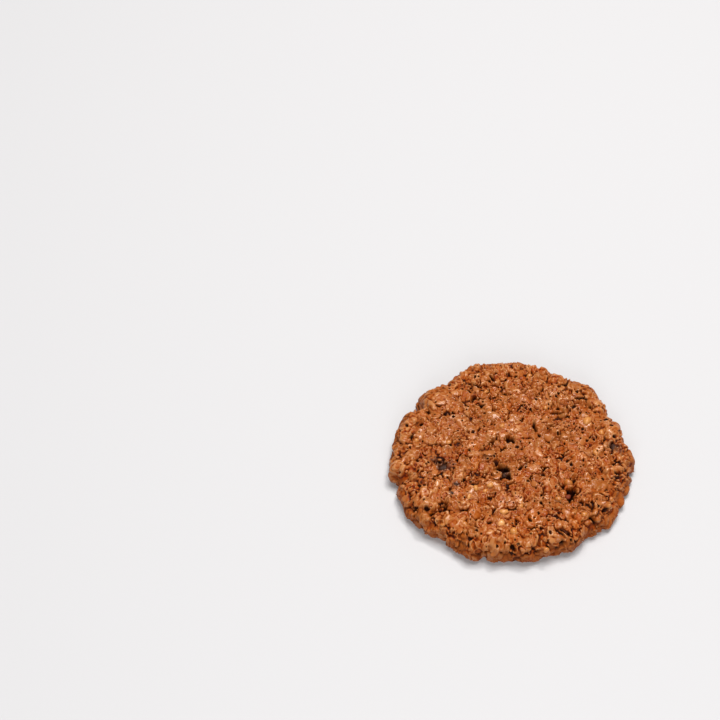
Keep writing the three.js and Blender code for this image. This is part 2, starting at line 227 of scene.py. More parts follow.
# Pale sugared beads: x, y, half sizes along, across and through, direction of the length, paleness (0 to 1)
BEADS = [
    (-5.7, -33, 1.9, 1.4, 1.4, 80, 1), (-1.2, -37, 1.6, 1.5, 1.4, 0, 0.6),
    (29.6, 13.2, 1.9, 1.6, 1.5, 40, 0.7), (21.4, -15, 1.6, 1.4, 1.4, 0, 0.2),
    (35, 9, 1.4, 1.2, 1.2, 60, 0.6), (-9.2, -16.5, 1.3, 1.1, 1.1, 0, 0.8),
    (-14.8, -18, 1.5, 0.9, 1, 95, 0.7), (-4.5, -28.3, 1.8, 1, 0.9, 170, 0.8),
    (-17.4, -21.6, 1.3, 0.7, 0.8, 80, 0.9), (-11.1, -18.5, 1.1, 1, 1, 0, 0.6),
    (-3.5, 11, 1.2, 0.9, 0.8, 30, 0.5), (29.5, 16, 1.1, 0.9, 0.8, 0, 0.4), (8.5, 37, 1.3, 1, 0.9, 20, 0.4),
    (38, -21.6, 1.4, 1.1, 1, 70, 0.3), (35.5, -24.5, 1.2, 1, 0.9, 0, 0.3), (32, -1.3, 1.5, 1, 0.9, 110, 0.5),
    (-24.5, 3.5, 1.2, 0.9, 0.8, 50, 0.5), (10.5, -41.5, 1.3, 1, 0.9, 30, 0.4),
    (-19.5, -33, 1.3, 1, 0.9, 120, 0.4), (16.5, -22.5, 1.2, 1, 0.9, 0, 0.4), (2, -25.5, 1.1, 1, 0.9, 0, 0.6),
    (-27, -32.5, 1.2, 0.9, 0.8, 20, 0.4), (26, -29, 1.3, 1, 0.9, 60, 0.4), (-37, 4.5, 1.1, 0.9, 0.8, 0, 0.4),
    (14, 20.5, 1.1, 0.9, 0.8, 0, 0.4), (-9, 28.5, 1.2, 0.9, 0.8, 40, 0.4),
    (31.6, -31.2, 1.1, 0.8, 0.8, 0, 0), (6.7, -21, 0.9, 0.8, 0.7, 0, 0), (-23.7, 21.1, 1, 0.8, 0.7, 0, 0),
]
BEAD_RAISED = -0.1  # how far the middle of a bead stands over the crust, as a share of its half height

# Bits of dried cranberry that show in the pits: x, y, half sizes, direction, redness from 0 to 1
FRUIT = [
    (-26.8, -6.8, 2.6, 2.1, 1.3, 30, 0.3), (-28.4, -4.4, 1.6, 1.3, 1, 90, 0.2),
    (-22.1, -15.5, 1.2, 1, 0.8, 0, 0.4), (-24.1, -19.8, 0.9, 0.7, 0.6, 0, 0.3),
    (20.5, -20.7, 1.2, 1, 0.9, 0, 1), (39.5, 2, 1.9, 1.2, 0.8, 80, 0.3), (-3, -9.6, 1.4, 1.1, 0.9, 60, 0.3),
]
FRUIT_RAISED = -0.7  # and the middle of a bit of fruit

GOLDEN_TURN = 137.50776  # degrees between one piece and the next, which spreads them evenly

# ---- How finely the meshes are divided, and how they lie in their texture maps ----

CAP_STEPS = 310  # squares across the cap, in the middle of the top
CAP_REACH, RING_REACH = 24.0, 36.0  # how far along the section the cap and the ring round it end
RING_STEPS = 74  # rings of vertices over the ring
SIDE_STEPS = 68  # and over the shoulder and the side
INSIDE = 3.4  # the height at which the pieces of the crust are closed inside the dough
INSET, OUTSET, TOP_OUTSET = 0.98, 1.01, 1.004  # how far in or out the walls inside the dough lead
BASE_RINGS = (0.985, 0.95, 0.88, 0.75, 0.55, 0.3, 0.1, 0.0)  # rings of the base, as shares of its foot
CAP_CHART = 0.48  # radius of the cap in its map
CORNER, WALL_CHART, FLOOR_CHART = 0.06, 0.05, 0.045  # the middle and radii of the inside of the cap there
STRIPS = 4  # how many strips a band's texture map is cut into
STRIP_ENDS, STRIP_FILL, STRIP_GAP = (0.01, 0.99), 0.96, 0.02  # how much of its share of the map a strip fills
CELL_FILL, CELL_GAP = 0.9, 0.05  # and how much an oval does


# ---- Small helpers ----


def bell(x):
    return np.exp(-x * x)


def smoothstep(x, low, high):
    share = np.clip((x - low) / (high - low), 0, 1)
    return share * share * (3 - 2 * share)


def between(limits, share):
    return limits[0] + (limits[1] - limits[0]) * share


def turn_between(a, b):
    """The signed angle from b to a, between -180 and 180 degrees."""
    return (a - b + 180) % 360 - 180


def scatter(index, prop):
    """A fixed number between 0 and 1 for each piece and each of its properties."""
    x = np.sin(index * 12.9898 + prop * 78.233) * 43758.5453
    return x - np.floor(x)


def scattered(index, first, count):
    """The same for several properties in a row, a column for each."""
    return scatter(index[:, None], np.arange(first, first + count))


def hashed(cells, seed):
    """A fixed number between 0 and 1 for each cell of a cubic lattice."""
    x = np.sin(cells @ np.array([127.1, 311.7, 74.7]) + seed * 53.7) * 43758.5453
    return x - np.floor(x)


def noise(points, cell, seed):
    """Smooth random numbers from -1 to 1: those of a lattice's corners, blended across each cell."""
    scaled = points / cell
    base = np.floor(scaled)
    part = scaled - base
    part = part * part * (3 - 2 * part)
    total = np.zeros(points.shape[:-1])
    for corner in itertools.product((0, 1), repeat=3):
        weight = np.prod(np.where(corner, part, 1 - part), axis=-1)
        total += weight * hashed(base + corner, seed)
    return 2 * total - 1


def warped(points, reach, cell, seed):
    """The points, each moved by up to about `reach`, so that round shapes turn out uneven."""
    return points + reach * np.stack([noise(points, cell, seed + axis) for axis in range(3)], axis=-1)


# ---- The smooth dough ----


def outline(direction):
    """The outline's radius in a direction: the mean, plus waves, plus a bell for each lobe or notch."""
    degrees = np.degrees(direction)
    radius = np.full_like(degrees, MEAN_RADIUS)
    for per_turn, height, crest in OUTLINE_WAVES:
        radius += height * np.cos(np.radians(per_turn * (degrees - crest)))
    for at, height, half_width in OUTLINE_LOBES:
        radius += height * bell(turn_between(degrees, at) / half_width)
    return radius


def drawn_in(direction, height):
    """How far the side draws in above the lips, in a direction and at a height."""
    degrees = np.degrees(direction)
    reach = sum(lip * bell(turn_between(degrees, at) / half_width) for at, lip, half_width in LIPS)
    return reach * smoothstep(height, *LIP_TOP)


def half_section(steps=400):
    """Half of the section as (length along it, radius, height): level out to the shoulder, a quarter of an
    ellipse down to the widest place, and another in to the edge of the base."""
    level = np.linspace(0, MEAN_RADIUS - SHOULDER, steps)[:-1]
    angle = np.linspace(0, math.pi / 2, steps)
    over = MEAN_RADIUS - SHOULDER + SHOULDER * np.sin(angle)
    over_height = WIDEST_AT + (DOUGH_TOP - WIDEST_AT) * np.cos(angle)
    under = MEAN_RADIUS - FOOT + FOOT * np.cos(angle[1:])
    under_height = WIDEST_AT - WIDEST_AT * np.sin(angle[1:])
    radius = np.concatenate([level, over, under])
    height = np.concatenate([np.full_like(level, DOUGH_TOP), over_height, under_height])
    length = np.concatenate([[0], np.cumsum(np.hypot(np.diff(radius), np.diff(height)))])
    return length, radius, height


LENGTH, RADIUS, HEIGHT = half_section()
AREA = np.concatenate([[0], np.cumsum((RADIUS[1:] + RADIUS[:-1]) * np.diff(LENGTH))])


def smooth_crust(along, direction):
    """Places on the smooth dough some way along its section in a direction, with the normals there."""
    curves = (RADIUS, HEIGHT, np.gradient(RADIUS, LENGTH), np.gradient(HEIGHT, LENGTH))
    inner, height, run, rise = (np.interp(along, LENGTH, curve) for curve in curves)
    steepness = np.hypot(run, rise)
    radius = inner * outline(direction) / MEAN_RADIUS
    radius -= drawn_in(direction, height) * smoothstep(inner, 0, MEAN_RADIUS)
    cos, sin = np.cos(direction), np.sin(direction)
    places = np.stack([radius * cos, radius * sin, height], axis=-1)
    normals = np.stack([-rise * cos, -rise * sin, run], axis=-1) / steepness[..., None]
    return places, normals


def frames(normals, turn):
    """Two directions along the surface for each normal: X laid over onto it the shortest way, then
    turned."""
    x, y, z = normals.T
    first = np.stack([1 - x * x / (1 + z), -x * y / (1 + z), -x], axis=-1)
    second = np.cross(normals, first)
    cos, sin = np.cos(turn)[:, None], np.sin(turn)[:, None]
    return first * cos + second * sin, second * cos - first * sin


def spread(count, turn):
    """Places spread evenly over the crust: equal shares of its area, each a golden angle further round."""
    index = np.arange(count)
    along = np.interp((index + 0.5) / count, AREA / AREA[-1], LENGTH)
    return smooth_crust(along, np.radians(index * GOLDEN_TURN + turn))


def smooth_place(x, y):
    """The place on the smooth dough over a place in plan, on the level of the top."""
    return x, y, float(np.interp(math.hypot(x, y), RADIUS[: len(RADIUS) // 2], HEIGHT[: len(HEIGHT) // 2]))


# ---- The crust's relief ----


class Crowd:
    """Points in the order of their x, so that those near a place are found fast."""

    def __init__(self, points):
        self.points = points
        self.order = np.argsort(points[:, 0])
        self.x = points[self.order, 0]

    def near(self, place, reach):
        low, high = np.searchsorted(self.x, (place[0] - reach, place[0] + reach))
        close = self.order[low:high]
        return close[np.abs(self.points[close] - place).max(axis=1) < reach]


def lump_height(crowd):
    """The highest lump at each point: a height times the root of 1 minus (distance / radius) squared."""
    places, _ = spread(LUMP_COUNT, LUMP_TURN)
    index = np.arange(LUMP_COUNT)
    radii = between(LUMP_RADIUS, scatter(index, 1))
    heights = between(LUMP_HEIGHT, scatter(index, 2))
    highest = np.zeros(len(crowd.points))
    for place, radius, height in zip(places, radii, heights):
        close = crowd.near(place, radius)
        near = 1 - np.sum((crowd.points[close] - place) ** 2, axis=-1) / radius**2
        highest[close] = np.maximum(highest[close], height * np.sqrt(np.maximum(near, 0)))
    return highest


def pit_depth(points, pits):
    """The deepest oval pit at each point: a depth times the bell of the square of how far out it lies, which
    noise changes so that the walls are ragged."""
    deepest = np.zeros(len(points))
    ragged = 1 + 0.45 * noise(points, 1.1, 73) + 0.25 * noise(points, 0.5, 75)
    for x, y, depth, half_length, half_width, direction in pits:
        cos, sin = math.cos(math.radians(direction)), math.sin(math.radians(direction))
        right, up = points[:, 0] - x, points[:, 1] - y
        out = ((right * cos + up * sin) / half_length) ** 2 + ((up * cos - right * sin) / half_width) ** 2
        deepest = np.maximum(deepest, depth * bell(out * ragged))
    return deepest


def bubbles(crowd, places, radii, depth):
    """Small round holes where bubbles broke, as (depth, height of the rim): a steep bell, and a low one
    round it."""
    deepest = np.zeros(len(crowd.points))
    highest = np.zeros(len(crowd.points))
    for place, radius in zip(places, radii):
        close = crowd.near(place, 3 * radius)
        out = np.linalg.norm(crowd.points[close] - place, axis=1) / radius
        deepest[close] = np.maximum(deepest[close], depth * bell(out * out))
        highest[close] = np.maximum(highest[close], 0.12 * bell((out - 1.6) / 0.5))
    return deepest, highest


def fused_mounds(crowd):
    """Small mounds run together. Each is an oval, bent along its length, whose height over the floor is a
    level and a slope, times a power of 1 minus a power of how far out the point lies. Their common height is
    the logarithm of the sum of their exponentials. With it, at each point, how deep in a crease between them
    it lies, the random number of the highest, and how deep in its hole, from 0 to 1."""
    size = len(crowd.points)
    total, highest = np.full(size, math.exp(FUSING * MOUND_FLOOR)), np.full(size, MOUND_FLOOR)
    tone, hole = np.full(size, 0.5), np.zeros(size)
    for count, turn, uneven, long, share, height, sunk, slope, bend, square, with_hole in MOUNDS:
        index = np.arange(count)
        places, normals = spread(count, turn)
        places = places + uneven * (scattered(index, turn + 1, 3) - 0.5)
        rights, ups = frames(normals, 2 * math.pi * scatter(index, turn + 4))
        longs = between(long, scatter(index, turn + 5) ** 1.4)
        wides = longs * between(share, scatter(index, turn + 6))
        heights = between(height, scatter(index, turn + 7)) - MOUND_FLOOR
        heights -= sunk * calmness(places, normals)
        slopes = slope * (2 * scattered(index, turn + 9, 2) - 1)
        bends = bend * (2 * scatter(index, turn + 11) - 1)
        tones = scatter(index, turn + 12)
        holed = scatter(index, turn + 13) < with_hole
        for i, place in enumerate(places):
            close = crowd.near(place, longs[i])
            gap = crowd.points[close] - place
            along = gap @ rights[i]
            across = gap @ ups[i] + bends[i] * along**2
            out = np.hypot(along / longs[i], across / wides[i])
            inside = out < 1
            close, out, along, across = close[inside], out[inside], along[inside], across[inside]
            top = heights[i] + slopes[i, 0] * along + slopes[i, 1] * across
            top = MOUND_FLOOR + top * (1 - out**square) ** 0.7
            total[close] += np.exp(FUSING * top)
            over = top > highest[close]
            mine = close[over]
            highest[mine] = top[over]
            tone[mine] = tones[i]
            hole[mine] = bell((out[over] / MOUND_HOLE) ** 2) if holed[i] else 0
    fused = np.log(total) / FUSING
    return fused, (fused - highest) * FUSING, tone, hole


def all_curls():
    """Each curl's place, two directions along the surface and five sizes: the scattered, then the listed."""
    index = np.arange(CURLS["count"])
    places, normals = spread(CURLS["count"], CURLS["turn"])
    rights, ups = frames(normals, 2 * math.pi * scatter(index, 1))
    keys = ("long", "share", "rim", "height")
    sizes = [between(CURLS[key], scatter(index, 2 + k)) for k, key in enumerate(keys)]
    sweeps = np.radians(between(CURLS["sweep"], scatter(index, 6)))
    yield from zip(places, rights, ups, *sizes, sweeps)
    for x, y, *sizes, direction, sweep in LISTED_CURLS:
        cos, sin = math.cos(math.radians(direction)), math.sin(math.radians(direction))
        right, up = np.array([cos, sin, 0]), np.array([-sin, cos, 0])
        yield np.array(smooth_place(x, y)), right, up, *sizes, math.radians(sweep)


def with_curls(crowd, fine):
    """The close relief with curls laid in: inside each oval the grains give way to a shallow hollow, and
    round it stands a rim, a bell across its width, that fades out at the two ends of its sweep."""
    fine = fine.copy()
    for place, right, up, long, share, rim, height, sweep in all_curls():
        close = crowd.near(place, long + 2 * rim)
        gap = crowd.points[close] - place
        across, along = gap @ right, gap @ up / share
        out = np.hypot(across, along)
        facing = np.abs(np.arctan2(along, across))
        ridge = height * bell((out - long) / rim) * smoothstep(sweep / 2 - facing, -0.2, 0.4)
        inside = smoothstep(long + 1.6 * rim - out, 0, rim)
        fine[close] += inside * (ridge - CURL_HOLLOW - CURL_SMOOTH * fine[close])
    return fine


def calmness(points, normals):
    """How far dough covers the grains, from 0 to 1: over the plates, in uneven patches, more to the back
    than to the front, and down the side."""
    calm = smoothstep(noise(points, 5.5, 91), 0, 0.6) * PATCHES
    calm += BACK_CALM * smoothstep(points[:, 1], *FRONT_TO_BACK)
    for x, y, radius in PLATES:
        calm = np.maximum(calm, bell((np.hypot(points[:, 0] - x, points[:, 1] - y) / radius) ** 2))
    return np.clip(np.maximum(calm, smoothstep(1 - normals[:, 2], 0.25, 0.9)), 0, 1)


def fruit_stain(points):
    """Where dark fruit shows through the dough, from 0 to 1: an uneven bell round each of its bits."""
    stain = np.zeros(len(points))
    ragged = 1 + 0.8 * noise(points, 1.3, 57) + 0.5 * noise(points, 0.6, 59)
    for x, y, half, *_, redness in FRUIT:
        out = np.hypot(points[:, 0] - x, points[:, 1] - y) / (1.3 * half)
        stain = np.maximum(stain, (1 - redness) * bell(out**2 * ragged))
    return stain


def cracks(points):
    """Thin winding cracks from 0 to 1: where smooth noise crosses its middle, in some patches only."""
    line = np.abs(noise(warped(points, 0.7, 1.6, 43), 2.6, 47))
    return smoothstep(0.13 - line, 0, 0.11) * smoothstep(noise(points, 2.2, 51), -0.1, 0.4)


def close_relief(points, fused, crease, crack, calm, steep):
    """The height of the close grains: the fused mounds, less creases and cracks, with fine wrinkles, with
    folds, a power of smooth noise's distance from its middle, and with the curls laid in."""
    wrinkle = 0.5 - np.abs(noise(warped(points, 0.5, 1.2, 37), 0.85, 39)) * 1.4
    fold = np.abs(noise(warped(points, 1.4, 2.8, 53), 2.0, 55)) ** 0.7 - 0.45
    folds = FOLD_HEIGHT * fold * (1 - SIDE_FLATTER * steep)
    fine = (fused - CREASE_DEPTH * crease - MEAN_MOUND) * (1 - CALMED * calm)
    fine = fine + WRINKLE_HEIGHT * wrinkle - CRACK_DEPTH * crack + folds
    fine = with_curls(Crowd(warped(points, 0.35, 1.3, 61)), fine) + GRIT_HEIGHT * noise(points, 0.5, 41)
    return fine + (SIDE_MOUNDS * steep * (fused - MEAN_MOUND) - SIDE_CRACKS * steep * crack)


def openings(points):
    """The depths of the pits, the slots and the bubble holes at each point, and the height of the rims."""
    open_top = smoothstep(points[:, 2], *PIT_FADE)
    pits = pit_depth(warped(points, 1.2, 2.0, 71), PITS) * open_top
    slots = pit_depth(warped(points, 0.45, 1.2, 77), SLOTS) * open_top
    uneven = Crowd(warped(points, 0.2, 0.7, 81))
    hole_places = np.array([smooth_place(x, y) for x, y, _ in HOLES])
    holes, rims = bubbles(uneven, hole_places, np.array(HOLES)[:, 2], HOLE_DEPTH)
    index = np.arange(PINHOLES["count"])
    places, normals = spread(PINHOLES["count"], PINHOLES["turn"])
    places = places + PINHOLES["uneven"] * (scattered(index, 5, 3) - 0.5)
    radii = between(PINHOLES["radius"], scatter(index, 8)) * smoothstep(normals[:, 2], 0.2, 0.8)
    wide = radii > 0.5 * PINHOLES["radius"][0]
    pins, pin_rims = bubbles(uneven, places[wide], radii[wide], PINHOLES["depth"])
    return pits, slots, np.maximum(holes, pins), np.maximum(rims, pin_rims)


def relief(points, normals):
    """The crust's height over the smooth dough: swells, lumps and close grains, less pits, slots and holes.
    With it, four numbers for the finish: fine is the height of the close grains from about -1 to 1, lowered
    as painted shade in creases, cracks, towards the front and down the side; pit how deep in a pit or hole
    the point lies, which the finish paints as shade; tone the random number of its grain; stain how far fruit
    shows."""
    flat = points[:, :2]
    swell = sum(height * bell(np.hypot(*(flat - (x, y)).T) / radius) for x, y, height, radius in SWELLS)
    lumps = lump_height(Crowd(warped(points, 0.5, 2.6, 31)))
    calm = calmness(points, normals)
    steep = smoothstep(1 - normals[:, 2], *SIDE_STEEPNESS)
    uneven = warped(warped(points, 0.45, 1.9, 21), 0.15, 0.7, 27)
    fused, crease, tone, mound_hole = fused_mounds(Crowd(uneven))
    crack = cracks(points)
    pits, slots, holes, rims = openings(points)
    holes = np.maximum(holes, MOUND_HOLE_DEPTH * mound_hole)
    fine = close_relief(points, fused, crease, crack, calm, steep) + rims
    height = swell + lumps + fine - pits - slots - holes
    height = np.where(height > HIGH, HIGH + (height - HIGH) * HIGH_SHARE, height)
    # Painted shade: the pit number is high in pits, slots, hollows, holes and cracks, and darkens them
    pit = smoothstep(pits, *PIT_SHADE) + smoothstep(slots, *SLOT_SHADE) + smoothstep(-fine, *HOLLOW_SHADE)
    pit = np.maximum(pit + CRACK_SHADE * crack, smoothstep(holes, *HOLE_SHADE))
    # Painted shade: the fine number, which picks the colour, is lowered in creases and cracks, on grains
    # towards the front, and down the side
    lower = CREASE_SHADE * crease * (1 - 0.5 * calm) + CRACK_SHADE * crack
    fine -= lower + FRONT_SHADE * (1 - calm) * smoothstep(-points[:, 1], *FRONT_SHADE_SPAN)
    fine -= SIDE_SHADE * steep
    tone = tone * (1 - 0.6 * calm) + 0.55 * calm
    numbers = {"fine": fine, "pit": np.clip(pit, 0, 1), "tone": tone, "stain": fruit_stain(points)}
    return height * smoothstep(points[:, 2], 0, BASE_CLEARANCE), numbers


def crust_points(along, direction):
    """Points on the craggy crust, with their normals on the smooth dough and their finish numbers."""
    shape = np.broadcast(along, direction).shape
    along, direction = (np.broadcast_to(value, shape).ravel() for value in (along, direction))
    places, normals = smooth_crust(along, direction)
    height, numbers = relief(places, normals)
    points = places + normals * height[:, None]
    points[:, 2] = np.maximum(points[:, 2], 0)
    return points, normals, numbers


# ---- Meshes from arrays ----


def grid_triangles(grid):
    """Two triangles for each square of a grid of vertex numbers, or of other values."""
    a, b, c, d = grid[:-1, :-1], grid[1:, :-1], grid[1:, 1:], grid[:-1, 1:]
    halves = (np.stack(corners, 2) for corners in ((a, b, c), (a, c, d)))
    return np.concatenate([half.reshape(-1, 3, *grid.shape[2:]) for half in halves])


def closed(rim):
    """The values round a rim with the first again at the end."""
    return np.append(rim, rim[:1], axis=0)


def fan(rim, middle):
    """Triangles from a rim of vertex numbers, or of other values, to one in its middle."""
    return np.stack([rim[:-1], rim[1:], np.broadcast_to(middle, rim[1:].shape)], 1)


def add_object(name, data):
    """An object with its data, in the scene."""
    item = bpy.data.objects.new(name, data)
    bpy.context.scene.collection.objects.link(item)
    return item


def make_piece(name, points, triangles, numbers, finish, slot, chart):
    """A mesh object from points in millimetres about the middle of the round, with named numbers at the
    points and the place of each triangle's corners in the texture map."""
    mesh = bpy.data.meshes.new(name)
    mesh.from_pydata((points + np.array([*CENTRE, 0])) * MM, [], triangles)
    mesh.uv_layers.new(name="OFBake").uv.foreach_set("vector", chart.astype(np.float32).ravel())
    mesh.validate()
    mesh.shade_smooth()
    for key, values in numbers.items():
        attribute = mesh.attributes.new(key, "FLOAT", "POINT")
        attribute.data.foreach_set("value", values.astype(np.float32))
    mesh.materials.append(finish)
    piece = add_object(name, mesh)
    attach(piece, "root")
    return piece


def crease_edges(mesh, *rings):
    """Marks the edges between vertices of a ring as sharp, so that shading doesn't run over them."""
    ends = np.empty(2 * len(mesh.edges), np.int32)
    mesh.edges.foreach_get("vertices", ends)
    sharp = sum(np.isin(ends, ring).reshape(-1, 2).all(axis=1) for ring in rings) > 0
    marks = mesh.attributes.get("sharp_edge") or mesh.attributes.new("sharp_edge", "BOOLEAN", "EDGE")
    marks.data.foreach_set("value", sharp)


# ---- Finishes ----


def from_srgb(red, green, blue):
    """A linear colour from the 0 to 255 values of a screen."""
    return (*(((c / 255 + 0.055) / 1.055) ** 2.4 for c in (red, green, blue)), 1)


class Field:
    """A number or colour that changes over a surface: a node's output. + - * add Math nodes."""

    def __init__(self, finish, socket):
        self.finish = finish
        self.socket = socket

    def math(self, operation, *values):
        return self.finish.node("Math", {"operation": operation}, dict(enumerate(values)))

    def __add__(self, other):
        return self.math("ADD", self, other)

    def __sub__(self, other):
        return self.math("SUBTRACT", self, other)

    def __rsub__(self, other):
        return self.math("SUBTRACT", other, self)

    def __mul__(self, other):
        return self.math("MULTIPLY", self, other)

    __radd__ = __add__
    __rmul__ = __mul__

    def clamped(self):
        return self.finish.node("Clamp", {}, {0: self})


class Finish:
    """A material with one Principled shader, and the means to build what feeds it."""

    def __init__(self, name, **uniform):
        self.material = bpy.data.materials.new(name)
        self.material.use_nodes = True
        self.tree = self.material.node_tree
        self.shader = self.tree.nodes["Principled BSDF"]
        for key, value in uniform.items():
            self.socket(key).default_value = value

    def socket(self, key):
        return self.shader.inputs[key.replace("_", " ").title().replace("Ior", "IOR")]

    def node(self, kind, settings, inputs, output=0):
        """Adds a node: its type, its settings, which are set first, and the values or links of its
        sockets."""
        node = self.tree.nodes.new("ShaderNode" + kind)
        for key, value in settings.items():
            if key == "stops":
                ramp = node.color_ramp
                while len(ramp.elements) < len(value):
                    ramp.elements.new(0.5)
                for element, (position, colour) in zip(ramp.elements, value):
                    element.position, element.color = position, from_srgb(*colour)
            else:
                setattr(node, key, value)
        for key, value in inputs.items():
            if isinstance(value, Field):
                self.tree.links.new(value.socket, node.inputs[key])
            else:
                node.inputs[key].default_value = value
        return Field(self, node.outputs[output])

    def feed(self, **fields):
        for key, field in fields.items():
            self.tree.links.new(field.socket, self.socket(key))

    def number(self, name):
        """One of the piece's own numbers."""
        return self.node("Attribute", {"attribute_name": name}, {}, "Fac")

    def place(self):
        """The object's own coordinates, in metres."""
        return self.node("TexCoord", {}, {}, "Object")

    def grain(self, per_metre, detail, seed):
        """Noise on the object's own coordinates, from 0 to 1, with so many grains to the metre."""
        shift = (seed, seed * 0.7, seed * 0.3)
        moved = self.node("Mapping", {}, {"Vector": self.place(), "Location": shift})
        return self.node("TexNoise", {}, {"Vector": moved, "Scale": per_metre, "Detail": detail})

    def height(self):
        """The height over the base, in metres."""
        return self.node("SeparateXYZ", {}, {0: self.place()}, "Z")

    def mixed(self, share, first, *colour):
        """A colour mixed with a share of a fixed one, given by its values on a screen."""
        settings = {"data_type": "RGBA", "clamp_factor": True}
        return self.node("Mix", settings, {0: share, 6: first, 7: from_srgb(*colour)}, 2)

    def ramp(self, field, *stops):
        """A colour by a field's value, from stops of a value and a colour on a screen."""
        return self.node("ValToRGB", {"stops": stops}, {0: field})

    def bumped(self, height, distance, strength):
        inputs = {"Height": height, "Distance": distance, "Strength": strength}
        return self.node("Bump", {}, inputs, "Normal")


BASE_SHADE_HEIGHT = 0.007  # metres over the base up to which the side is painted with shade, a deeper brown


def crust_finish(name, sheen):
    """Baked dough, mid brown on the grains, with painted shade: orange brown in the creases and near black in
    the pits. The paler tops of the grains are a painted highlight; the satin sheen is glossier on raised
    rims."""
    finish = Finish(name, specular_ior_level=0.08, coat_ior=1.45, coat_roughness=0.2)
    fine, pit, tone, stain = (finish.number(key) for key in ("fine", "pit", "tone", "stain"))
    patch = finish.grain(90, 4.0, 0.3)
    speck = finish.grain(1800, 3.0, 0.9)
    grit = finish.grain(2600, 2.0, 0.1)
    # Painted shade and highlight: by the fine number the creases turn dark orange brown and the tops paler
    level = (fine * 0.42 + 0.57 + (speck - 0.5) * 0.15).clamped()
    creases = (0, (86, 24, 0)), (0.25, (140, 54, 0))
    colour = finish.ramp(level, *creases, (0.5, (158, 82, 28)), (0.75, (170, 101, 50)), (1, (186, 121, 68)))
    darker = finish.mixed(tone - 0.45, colour, 150, 86, 36)
    warmer = finish.mixed((0.3 - tone) * 1.4, darker, 178, 88, 12)
    patched = finish.mixed((patch - 0.52) * 2.0, warmer, 148, 84, 30)
    # Painted shade: the side turns a deeper brown near the base
    shaded = finish.mixed((1 - finish.height() * (1 / BASE_SHADE_HEIGHT)) * 0.6, patched, 138, 62, 12)
    stained = finish.mixed(stain, shaded, 66, 42, 34)
    # Painted shade: the pit number takes pits and holes to near black
    finish.feed(
        base_color=finish.mixed(pit, stained, 36, 8, 0),
        coat_weight=(sheen + fine * 0.35 - pit).clamped(),
        roughness=(0.5 + (speck - 0.5) * 0.3).clamped(),
        normal=finish.bumped(grit * 0.5 + speck * 0.5, 0.0003, 0.25),
    )
    return finish.material


def bead_finish(name):
    """A sugar-coated grain of oats: paler and glossier than the crust."""
    finish = Finish(name, ior=1.5)
    speck = finish.grain(900, 3.0, 0.2)
    level = (finish.number("tone") * 0.7 + (speck - 0.5) * 0.5).clamped()
    pale = finish.ramp(level, (0, (164, 88, 26)), (0.5, (196, 128, 60)), (1, (226, 174, 112)))
    rough = 0.32 + (speck - 0.5) * 0.3
    finish.feed(base_color=pale, roughness=rough, normal=finish.bumped(speck, 0.0003, 0.5))
    return finish.material


def fruit_finish(name):
    """Dried cranberry: dark and wrinkled, with redder thin places."""
    finish = Finish(name, ior=1.45, specular_ior_level=0.15)
    fold = finish.grain(700, 4.0, 0.5)
    level = (finish.number("tone") * 0.6 + fold * 0.5).clamped()
    skin = finish.ramp(level, (0, (28, 15, 10)), (0.5, (66, 42, 32)), (1, (130, 54, 28)))
    finish.feed(base_color=skin, roughness=0.38 + fold * 0.2, normal=finish.bumped(fold, 0.0006, 0.8))
    return finish.material


def table_finish(name):
    """A pale table that glows a little, as a sheet lit from below does, so shadows stay light."""
    pale = {"base_color": (0.53, 0.527, 0.534, 1), "roughness": 0.9, "specular_ior_level": 0.0}
    return Finish(name, **pale, emission_color=(1.0, 0.985, 0.995, 1), emission_strength=0.07).material


# ---- The crust in three meshes: a cap in the middle, a ring round it, and the side with the base ----


def disc_grid(steps):
    """A square grid carried onto a disc of radius 1 with equal areas, as (radius, direction): a square ring
    goes to a circle, and a place along its side to its share of a quarter turn."""
    across = np.linspace(-1, 1, steps + 1)
    x, y = np.meshgrid(across, across, indexing="ij")
    wide = np.abs(x) > np.abs(y)
    radius = np.where(wide, x, y)
    safe = np.where(radius == 0, 1, radius)
    angle = np.where(wide, math.pi / 4 * y / safe, math.pi / 2 - math.pi / 4 * x / safe)
    return np.abs(radius), angle + np.where(radius < 0, math.pi, 0)


def rim_of_grid(values):
    """The values round the edge of a square grid, in order."""
    return np.concatenate([values[:-1, 0], values[-1, :-1], values[:0:-1, -1], values[0, :0:-1]])


def with_painted_edges(numbers, shape):
    """The finish numbers of a grid of points, with the fine one raised as painted highlight where the crust
    stands over its surroundings and lowered as painted shade in creases: by one multiple of its difference
    from the mean of the square round it above that mean, and another below."""
    fine = numbers["fine"].reshape(shape)
    mean = fine
    for axis in (0, 1):
        reach = [(EDGE_STEPS, EDGE_STEPS) if k == axis else (0, 0) for k in (0, 1)]
        padded = np.pad(mean, reach, mode="edge")
        length = mean.shape[axis]
        mean = sum(np.take(padded, range(k, k + length), axis) for k in range(2 * EDGE_STEPS + 1))
        mean = mean / (2 * EDGE_STEPS + 1)
    over = fine - mean
    lit_and_shaded = fine + EDGE_HIGHLIGHT_AND_SHADE[0] * np.maximum(over, 0) + EDGE_HIGHLIGHT_AND_SHADE[1] * np.minimum(over, 0)
    return numbers | {"fine": lit_and_shaded.ravel()}


